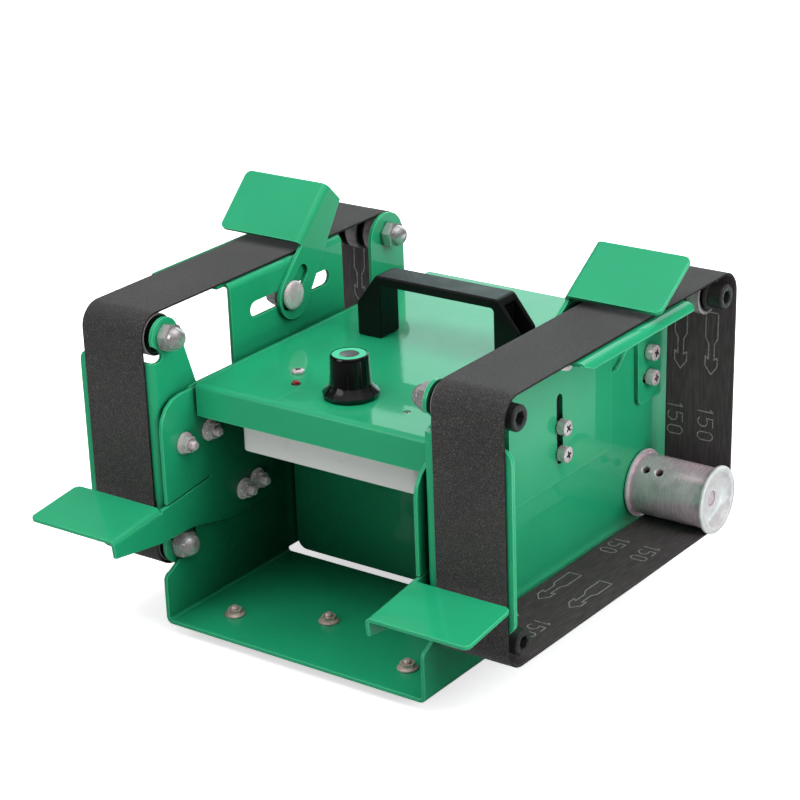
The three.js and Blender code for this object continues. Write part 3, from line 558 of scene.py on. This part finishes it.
for side, sign in SIDES.items():
    for spot in ("front_top", "front_bottom", "rear"):
        acorn_nut(f"{spot}_acorn_nut_{side}")
        axle_bolt(f"{spot}_axle_bolt_{side}")
        bearing_stack(f"{spot}_roller_{side}")

    # Sheet-metal screws of the platen and the tension arm
    for number, name in enumerate(("platen_screw_1", "platen_screw_2", "arm_pivot_screw", "arm_clamp_screw")):
        node = f"{name}_{side}"
        low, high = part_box(node)
        middle = (low + high) / 2
        far = max(abs(low.x), abs(high.x))
        place = Vector((sign * (far - 5.0 * MM), middle.y, middle.z))
        screw = machine_screw(f"{node}_look", place, (sign, 0, 0), body_of(node), spin=0.3 + 0.45 * number, height=4.8)
        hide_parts(node)

    # Top rest's carriage bolt and clamp nut
    node = f"rest_carriage_bolt_{side}"
    low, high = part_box(node)
    middle = (low + high) / 2
    inner, outer = sorted((abs(low.x) / MM, abs(high.x) / MM))
    face = inner + 4.4
    dome = [(face - 1 - 2.6 * math.sin(a), 8 * math.cos(a)) for a in (math.radians(d) for d in range(10, 90, 10))]
    threads = [(face + 7 + 0.5 * i, 3.6 if i % 2 else 4.0) for i in range(int((outer - face - 7.6) / 0.5))]
    rings = [
        (face - 3.6, 0), *dome[::-1], (face - 0.8, 8), (face - 0.2, 7.9), (face, 7.6), (face, 4), (face + 6.8, 4),
        *threads, (outer - 0.4, 3.9), (outer, 3.4), (outer, 0),
    ]
    place = Vector((0, middle.y, centre(f"rest_clamp_nut_{side}").z))
    bolt = turned(
        f"{node}_look", rings, [ZINC], body_of(node), "plated_steel", facing(place, (sign, 0, 0)), count=64
    )
    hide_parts(node)

    node = f"rest_clamp_nut_{side}"
    low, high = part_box(node)
    middle = (low + high) / 2
    near = min(abs(low.x), abs(high.x))
    bm = bmesh.new()
    nut = [
        (0, 4.1), (0, 8.4), (0.3, 8.8), (1.1, 8.8), (1.6, 8.2), (2.3, 7.2), polygon(2.5, 13),
        polygon(7.6, 13, chamfer=6.5), (7.6, 4.6), (7.1, 4.1),
    ]
    revolve(bm, nut, 72, True)
    clamp = finish_piece(
        f"{node}_look", bm, [ZINC], body_of(node),
        facing(Vector((sign * near, middle.y, middle.z)), (sign, 0, 0), 0.2),
    )
    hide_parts(node)

    # Pressed studs that hold the rest plate, each with a flange nut inside
    bm = bmesh.new()
    inner_face = min(abs(c.x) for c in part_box(f"rest_plate_{side}")) / MM
    for number, (y, z) in enumerate(((3, 95.7), (22.6, 96.4), (47, 54.1), (58, 55.7))):
        single = bmesh.new()
        flange_nut(single)
        single.transform(facing(at(sign * inner_face, y, z), (-sign, 0, 0), 0.3 + number))
        mesh = bpy.data.meshes.new("nut")
        single.to_mesh(mesh)
        single.free()
        bm.from_mesh(mesh)
    finish_piece(f"rest_plate_nuts_{side}", bm, [ZINC], "frame")

# A dark sheet behind each top platen's slot, painted shade for the slot's inside: foot-rubber black outside, painted
# green inside
for side, sign in SIDES.items():
    web = sorted(abs(c.x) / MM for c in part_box(f"top_platen_{side}"))[0]
    screw = centre(f"platen_screw_1_{side}")
    y = (screw.y - AXIS_Y) / MM
    bm = bmesh.new()
    outline = [(y - 2.9, 85.0), (y + 2.9, 85.0), (y + 2.9, 122.4), (y + 2.2, 123.4), (y - 2.2, 123.4), (y - 2.9, 122.4)]
    rings = [[bm.verts.new(at(sign * x, v, z)) for v, z in outline] for x in (web - 0.15, web - 0.05)]
    bm.faces.new(rings[1])
    bm.faces.new(rings[0][::-1]).material_index = 1
    for i in range(6):
        j = (i + 1) % 6
        bm.faces.new((rings[0][i], rings[0][j], rings[1][j], rings[1][i])).material_index = 1
    finish_piece(f"slot_shade_pad_{side}", bm, [RUBBER, GREEN], "frame")

# Flange nuts on the floor of the base
bm = bmesh.new()
for number, (x, y) in enumerate(((-55.1, 7.7), (-8.6, 27.3), (55.8, 7.2), (-55.1, 190), (55.8, 190))):
    single = bmesh.new()
    flange_nut(single, 2.2, 7.0, 5.4, 3.6, 1.6)
    single.transform(facing(at(x, y, 2.2), (0, 0, 1), 0.4 + number))
    mesh = bpy.data.meshes.new("nut")
    single.to_mesh(mesh)
    single.free()
    bm.from_mesh(mesh)
finish_piece("floor_nuts", bm, [BRASSY], "frame")

# Screws of the cover: a pan head, a sunk screw, and two on the rear panel
COVER_TOP = top_of("top_cover")
COVER_REAR = (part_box("top_cover")[1].y - AXIS_Y) / MM
machine_screw("cover_screw_left", at(-39.7, 51.1, COVER_TOP + 0.1), (0, 0, 1), "frame", 3.4, 1.7, 3, 0.2, 0.9)
machine_screw("cover_screw_right", at(39.5, 36.4, COVER_TOP - 1.5), (0, 0, 1), "frame", 2.15, 0.9, 1, 0.7, 0.3)
for number, x in enumerate((-62, 62)):
    place = at(x, COVER_REAR + 0.1, 110)
    machine_screw(f"cover_rear_screw_{number + 1}", place, (0, 1, 0), "frame", 3.2, 1.6, 3, number, 0.9)


# ---- Belts --------------------------------------------------------------------------------

DRUM_RADIUS = 16.7
BELT_THICKNESS = 1.1


def belt_circles(side):
    """The four turning points as (y, z, inner radius) in machine millimetres, listed counter-clockwise."""
    spots = []
    front = centre(f"front_top_roller_{side}").y
    idler = (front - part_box(f"sanding_belt_{side}")[0].y) / MM - BELT_THICKNESS
    for node, radius in (
        (f"front_bottom_roller_{side}", idler), (f"drive_wheel_{side}", DRUM_RADIUS),
        (f"rear_roller_{side}", idler), (f"front_top_roller_{side}", idler),
    ):
        middle = centre(node)
        spots.append(((middle.y - AXIS_Y) / MM, (middle.z - BASE_Z) / MM, radius))
    return spots


def belt_path(side):
    """Points (y, z) along the belt's inner face with their outward normals, about 4 mm apart."""
    circles = belt_circles(side)
    normals = []
    for i, (y, z, radius) in enumerate(circles):
        to_y, to_z, to_radius = circles[(i + 1) % 4]
        distance = math.hypot(to_y - y, to_z - z)
        heading = math.atan2(to_z - z, to_y - y)
        normals.append(heading - math.acos((radius - to_radius) / distance))
    path = []
    for i, (y, z, radius) in enumerate(circles):
        start, end = normals[i - 1], normals[i]
        turn = (end - start) % (2 * math.pi)
        steps = max(2, round(math.degrees(turn) / 5))
        for k in range(steps + 1):
            a = start + turn * k / steps
            n = (math.cos(a), math.sin(a))
            path.append(((y + radius * n[0], z + radius * n[1]), n))
        to_y, to_z, to_radius = circles[(i + 1) % 4]
        n = (math.cos(end), math.sin(end))
        first = (y + radius * n[0], z + radius * n[1])
        last = (to_y + to_radius * n[0], to_z + to_radius * n[1])
        count = int(math.hypot(last[0] - first[0], last[1] - first[1]) / 4)
        for k in range(1, count):
            t = k / count
            path.append(((first[0] + (last[0] - first[0]) * t, first[1] + (last[1] - first[1]) * t), n))
    return path


def belt(side, sign):
    node = f"sanding_belt_{side}"
    low, high = (abs(c.x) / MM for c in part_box(node))
    inner_x, outer_x = sorted((low, high))
    path = belt_path(side)
    section = [
        (0.0, 0.15), (0.0, 0.95), (0.18, 1.1), (8, 1.1), (20, 1.1), (32, 1.1), (39.82, 1.1), (40, 0.95), (40, 0.15),
        (39.85, 0), (32, 0), (20, 0), (8, 0), (0.15, 0),
    ]
    bm = bmesh.new()
    loops = []
    for number, ((y, z), (ny, nz)) in enumerate(path):
        loop = []
        for across, out in section:
            ripple = 0.035 * math.sin(number * 0.31 + across * 0.17) + 0.03 * math.sin(number * 0.11 - across * 0.4)
            d = out + ripple + 0.02
            loop.append(bm.verts.new(at(sign * (inner_x + across), y + ny * d, z + nz * d)))
        loops.append(loop)
    for i, first in enumerate(loops):
        second = loops[(i + 1) % len(loops)]
        for j in range(len(section)):
            k = (j + 1) % len(section)
            face = bm.faces.new((first[j], first[k], second[k], second[j]))
            face.material_index = 0 if 1 <= j <= 6 else (1 if 8 <= j <= 12 else 2)
    piece = finish_piece(f"{node}_look", bm, [GRIT, CLOTH, BELT_EDGE], "frame")
    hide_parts(node)
    return path, inner_x


# Printing on the belt's back, drawn as pen strokes: u up the figure, v along its line, which runs with the arrows
ARROW = [(-3.6, 0), (-3.6, 14), (-1.7, 17.5), (-1.7, 26), (-3.6, 24.5), (-3.6, 29.5), (0, 34.3), (3.6, 29.5),
         (3.6, 24.5), (1.7, 26), (1.7, 17.5), (3.6, 14), (3.6, 0), (-3.6, 0)]
ONE = [(-4.5, 1.4), (4.5, 1.4), (2.8, 0)]
FIVE = [(4.5, 5.2), (4.5, 0.7), (0.7, 0.5), (1.3, 2.9), (0.2, 5.0), (-2.2, 5.2), (-4.2, 3.9), (-4.5, 2.0), (-3.6, 0.5)]
ZERO = [(2.9, 0.4), (4.5, 1.8), (4.5, 3.4), (2.9, 4.9), (-2.9, 4.9), (-4.5, 3.4), (-4.5, 1.8), (-2.9, 0.4), (2.9, 0.4)]
PRINT_LINES = (8.5, 26.8)
PRINT_REPEAT = 209.2
ARROW_TAIL, NUMBER_START, SECOND_NUMBER = 97.0, 42.8, 146.0


def shifted(stroke, by):
    return [(u, v + by) for u, v in stroke]


GRIT_NUMBER = [shifted(ONE, 0), shifted(FIVE, 4.6), shifted(ZERO, 12.5)]


def print_on_belt(side, sign, path, inner_x):
    lengths = [0.0]
    for (a, _), (b, _) in zip(path, path[1:] + path[:1]):
        lengths.append(lengths[-1] + math.hypot(b[0] - a[0], b[1] - a[1]))
    total = lengths[-1]
    closed = path + path[:1]
    lower_run = [i for i, (_, normal) in enumerate(path) if normal[1] < -0.9]
    origin = lengths[min(lower_run, key=lambda i: abs(path[i][0][0]))]

    def on_back(u, v):
        v = (v + origin) % total
        i = max(k for k in range(len(path)) if lengths[k] <= v)
        t = (v - lengths[i]) / max(1e-9, lengths[i + 1] - lengths[i])
        (ay, az), (ny, nz) = closed[i]
        by, bz = closed[i + 1][0]
        lift = 0.06
        return at(sign * (inner_x + u), ay + (by - ay) * t - ny * lift, az + (bz - az) * t - nz * lift)

    bm = bmesh.new()

    def draw(stroke, u0, v0, width=0.62):
        points = [Vector((u0 + u * sign, v0 - v)) for u, v in stroke]
        for a, b in zip(points, points[1:]):
            along = b - a
            pieces = max(1, int(along.length / 4))
            side_step = Vector((-along.y, along.x)).normalized() * width / 2
            for k in range(pieces):
                p, q = a + along * k / pieces, a + along * (k + 1) / pieces
                grow = along.normalized() * width * 0.35
                p, q = p - grow, q + grow
                corners = [p - side_step, q - side_step, q + side_step, p + side_step]
                bm.faces.new([bm.verts.new(on_back(c.x, c.y)) for c in corners])

    for repeat in range(3):
        for line, stagger in zip(PRINT_LINES, (0.0, -0.1)):
            start = repeat * PRINT_REPEAT + stagger
            draw(ARROW, line, start + ARROW_TAIL)
            for stroke in GRIT_NUMBER:
                draw(stroke, line - 2.4, start + NUMBER_START)
                draw(stroke, line - 1.0, start + SECOND_NUMBER)
    return finish_piece(f"belt_print_{side}", bm, [INK], "frame")


for side, sign in SIDES.items():
    path, inner_x = belt(side, sign)
    print_on_belt(side, sign, path, inner_x)


# ---- Drive wheels -------------------------------------------------------------------------

for side, sign in SIDES.items():
    node = f"drive_wheel_{side}"
    low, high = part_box(node)
    start, end = sorted((abs(low.x) / MM, abs(high.x) / MM))
    middle = (low + high) / 2
    crown = [(start + 2.3 + i * (end - start - 4.4) / 8, 16.4 + 0.12 * math.sin(math.pi * i / 8)) for i in range(9)]
    rings = [
        (start, 4.1), (start, 17.9), (start + 0.2, 18.3), (start + 0.5, 18.5), (start + 1.6, 18.5), (start + 1.8, 18.3),
        (start + 2.0, 16.7), *crown, (end - 1.7, 16.9), (end - 1.6, 18.2), (end - 1.3, 18.5), (end - 0.5, 18.5),
        (end - 0.15, 18.3), (end, 17.8), (end, 15.4), (end - 0.25, 14.9), (end - 0.8, 14.4), (end - 2.6, 12.0),
        (end - 3.3, 9.6), (end - 3.6, 8.4), (end - 3.6, 4.7), (end - 4.0, 4.1),
    ]
    place = Vector((0, middle.y, middle.z))
    matrix = facing(place, (sign, 0, 0))
    bm = bmesh.new()
    revolve(bm, rings, 96, True, {band: 1 for band in (*range(2, 5), *range(17, 29))})
    wheel = finish_piece(f"{node}_look", bm, [TURNED, FACED], "rotor", matrix)
    holes = bmesh.new()
    for x in (start + 8.5, start + 16.5):
        toward = Vector((0, -math.cos(math.radians(52)), math.sin(math.radians(52))))
        single = bmesh.new()
        revolve(single, [(9, 0), (9, 2.1), (15.7, 2.1), (16.7, 2.9), (18, 2.9), (18, 0)], 28, bands={2: 1})
        single.transform(facing(Vector((sign * x * MM, middle.y, middle.z)), toward))
        mesh = bpy.data.meshes.new("hole")
        single.to_mesh(mesh)
        single.free()
        holes.from_mesh(mesh)
    carve(wheel, holes)
    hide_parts(node)
    for number, x in enumerate((start + 8.5, start + 16.5)):
        rings = [(8.6, 0), (8.6, 1.9), (12.4, 1.9), (12.8, 1.6), polygon(12.8, 2.6), polygon(11, 2.6), (10.6, 0)]
        place = Vector((sign * x * MM, middle.y, middle.z))
        turned(
            f"set_screw_{number + 1}_{side}", rings, [OXIDE], "rotor", "black_bolt_steel", facing(place, toward), count=36
        )


# ---- Knob and lamp ------------------------------------------------------------------------

low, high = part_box("speed_knob")
middle = (low + high) / 2
rings = [
    (1.0, 3.9), (0, 4.2), (0, 12.6), polygon(0.1, 27.2, 12, soft=0.2), polygon(0.6, 28.2, 12, soft=0.1),
    polygon(2.0, 28.2, 12, soft=0.1), polygon(2.6, 27.4, 12, soft=0.15), polygon(6.0, 21.6, 12, soft=0.5),
    (6.8, 10.55), (20.4, 9.9), (21.2, 9.75), (21.8, 9.35), (22, 8.95), (22, 8.75), (21.75, 8.65),
    (21.75, 5.0), (21.55, 4.85), (21.4, 4.4), (21.35, 0),
]
bm = bmesh.new()
revolve(bm, rings, 144, False, {14: 1, 15: 2, 16: 2, 17: 2})
inside = [(1.0, 3.9), (15, 3.2), (15, 0)]
revolve(bm, inside, 144, False)
bmesh.ops.remove_doubles(bm, verts=bm.verts[:], dist=1e-5)
knob = finish_piece(
    "speed_knob_look", bm, [GLOSS, KNOB_GREEN, KNOB_GREY], "knob",
    facing(Vector((middle.x, middle.y, low.z)), (0, 0, 1), 0.26), smooth=24,
)
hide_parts("speed_knob")

low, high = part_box("power_led")
base = Vector(((low.x + high.x) / 2, (low.y + high.y) / 2, BASE_Z + COVER_TOP * MM))
bezel = [(0.02, 1.75), (0.5, 1.75), (0.62, 1.95), (0.45, 2.35), (0.02, 2.6)]
turned("led_bezel", bezel, [BLACK], "frame", "black_plastic", facing(base, (0, 0, 1)), closed=True)

low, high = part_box("power_jack")
base = Vector(((low.x + high.x) / 2, high.y, (low.z + high.z) / 2))
pin = [(-10.4, 0), (-10.4, 1.0), (-1.6, 1.0), (-1.1, 0.85), (-0.8, 0.5), (-0.8, 0)]
turned("jack_pin", pin, [BRASSY], "frame", "plated_steel", facing(base, (0, 1, 0)), count=24)

# ---- Stage --------------------------------------------------------------------------------


def stage_floor():
    bm = bmesh.new()
    bmesh.ops.create_grid(bm, x_segments=8, y_segments=8, size=6)
    mesh = bpy.data.meshes.new("floor")
    bm.to_mesh(mesh)
    bm.free()
    f = Finish("pale_floor", Roughness=0.7, Specular_IOR_Level=0.1)
    f.set(Base_Color=f.mix(f.noise(6, 2), linear((246, 246, 246)), linear((250, 250, 250))))
    dim = f.node("ShaderNodeBsdfDiffuse", {"Color": (0.10, 0.11, 0.10, 1)})
    rays = f.node("ShaderNodeLightPath")
    ray = rays.outputs["Is Glossy Ray"]
    far = f.node("ShaderNodeVectorMath", {0: f.place}, operation="LENGTH").outputs["Value"]
    lift = f.between(far, 0.1, 1.4, 0.62, 1.0)
    f.set(Emission_Color=(1, 1, 1, 1), Emission_Strength=f.maths("MULTIPLY", rays.outputs["Is Camera Ray"], lift))
    both = f.node("ShaderNodeMixShader", {0: ray, 1: f.shader.outputs["BSDF"], 2: dim.outputs[0]})
    output = next(n for n in f.nodes if n.type == "OUTPUT_MATERIAL")
    f.links.new(both.outputs[0], output.inputs["Surface"])
    mesh.materials.append(f.material)
    floor = bpy.data.objects.new("floor", mesh)
    scene.collection.objects.link(floor)


def softbox(name, place, target, width, height, power, glossy=True, diffuse=True, colour=(1, 1, 1)):
    data = bpy.data.lights.new(name, "AREA")
    data.shape, data.size, data.size_y = "RECTANGLE", width, height
    data.energy, data.color = power, colour
    lamp_object = bpy.data.objects.new(name, data)
    lamp_object.location = place
    lamp_object.rotation_euler = (Vector(target) - Vector(place)).to_track_quat("-Z", "Y").to_euler()
    scene.collection.objects.link(lamp_object)
    lamp_object.visible_camera = False
    lamp_object.visible_glossy = glossy
    lamp_object.visible_diffuse = diffuse
    return lamp_object


def card(name, place, target, width, height, strength, colour=(1, 1, 1, 1), bands=False):
    """A panel that only shows up as a reflection in glossy surfaces."""
    bm = bmesh.new()
    bmesh.ops.create_grid(bm, x_segments=1, y_segments=1, size=0.5)
    bm.transform(Matrix.Diagonal((width, height, 1, 1)))
    mesh = bpy.data.meshes.new(name)
    bm.to_mesh(mesh)
    bm.free()
    f = Finish(f"{name}_glow", Roughness=1.0, Specular_IOR_Level=0.0, Base_Color=(0, 0, 0, 1))
    f.set(Emission_Color=colour, Emission_Strength=strength)
    if bands:
        wander = f.between(f.noise(3.2, 1), 0.42, 0.58, strength * 0.25, strength)
        f.set(Emission_Strength=wander)
    mesh.materials.append(f.material)
    panel = bpy.data.objects.new(name, mesh)
    panel.location = place
    panel.rotation_euler = (Vector(target) - Vector(place)).to_track_quat("Z", "Y").to_euler()
    scene.collection.objects.link(panel)
    panel.visible_camera = panel.visible_diffuse = panel.visible_shadow = panel.visible_transmission = False


stage_floor()
softbox("overhead", (0.0, -0.1, 1.8), (0, 0, 0), 1.4, 1.4, 12, glossy=False)
softbox("front", (-0.25, -0.95, 1.8), (0, 0, 0.1), 1.0, 0.8, 14, glossy=False)
softbox("right", (1.7, 0.1, 1.1), (0, 0, 0.08), 1.2, 1.2, 27, glossy=False)
softbox("left", (-1.6, -0.3, 1.2), (0, 0, 0.1), 1.0, 1.0, 7, glossy=False)
COOL = (0.76, 1.0, 0.97, 1)
card("rear_card_low", (-0.40, 1.42, 0.53), (-0.40, 0, 0.53), 1.3, 0.68, 1.55, COOL)
card("rear_card_high", (-0.44, 1.42, 1.18), (-0.44, 0, 1.18), 1.38, 0.62, 1.55, COOL)
card("top_card", (0.1, 0.1, 1.7), (0.1, 0.1, 0), 1.5, 1.5, 1.1)
card("front_card", (-0.7, -1.5, 0.9), (0, 0, 0.2), 0.9, 1.0, 1.7)
card("floor_card", (0.62, 0.45, 0.002), (0.62, 0.45, 1), 0.95, 1.2, 1.1, COOL, True)

world = bpy.data.worlds.new("studio")
scene.world = world
world.use_nodes = True
tree = world.node_tree
tree.nodes.clear()
coordinate = tree.nodes.new("ShaderNodeTexCoord")
split = tree.nodes.new("ShaderNodeSeparateXYZ")
ramp = tree.nodes.new("ShaderNodeMapRange")
ramp.inputs[1].default_value, ramp.inputs[2].default_value = 0.35, 0.8
ramp.inputs[3].default_value, ramp.inputs[4].default_value = 0.05, 0.5
path_node = tree.nodes.new("ShaderNodeLightPath")
seen = tree.nodes.new("ShaderNodeMix")
seen.inputs[3].default_value = 0.95
background = tree.nodes.new("ShaderNodeBackground")
background.inputs["Color"].default_value = (1, 1, 1, 1)
world_output = tree.nodes.new("ShaderNodeOutputWorld")
tree.links.new(coordinate.outputs["Generated"], split.inputs[0])
tree.links.new(split.outputs["Z"], ramp.inputs["Value"])
tree.links.new(path_node.outputs["Is Camera Ray"], seen.inputs[0])
glossy = tree.nodes.new("ShaderNodeMix")
glossy.inputs[2].default_value = 0.42
tree.links.new(path_node.outputs["Is Glossy Ray"], glossy.inputs[0])
tree.links.new(ramp.outputs["Result"], glossy.inputs[3])
tree.links.new(glossy.outputs[0], seen.inputs[2])
tree.links.new(seen.outputs[0], background.inputs["Strength"])
tree.links.new(background.outputs[0], world_output.inputs["Surface"])

camera = bpy.data.objects.new("camera", bpy.data.cameras.new("camera"))
scene.collection.objects.link(camera)
camera.data.lens, camera.data.sensor_width = 108.9, 36
azimuth, elevation, roll = math.radians(36.64), math.radians(21.57), math.radians(-2.11)
back = Vector((
    math.sin(azimuth) * math.cos(elevation), -math.cos(azimuth) * math.cos(elevation), math.sin(elevation)
))
right = (-back).cross(Vector((0, 0, 1))).normalized()
up = right.cross(-back)
rolled_right = right * math.cos(roll) + up * math.sin(roll)
rolled_up = up * math.cos(roll) - right * math.sin(roll)
camera.matrix_world = Matrix((rolled_right, rolled_up, back)).transposed().to_4x4()
camera.location = Vector((0.00177, -0.002226, 0.11462)) + back * 1.24318
camera.data.clip_start, camera.data.clip_end = 0.01, 50
scene.camera = camera
scene.view_settings.view_transform = "Standard"
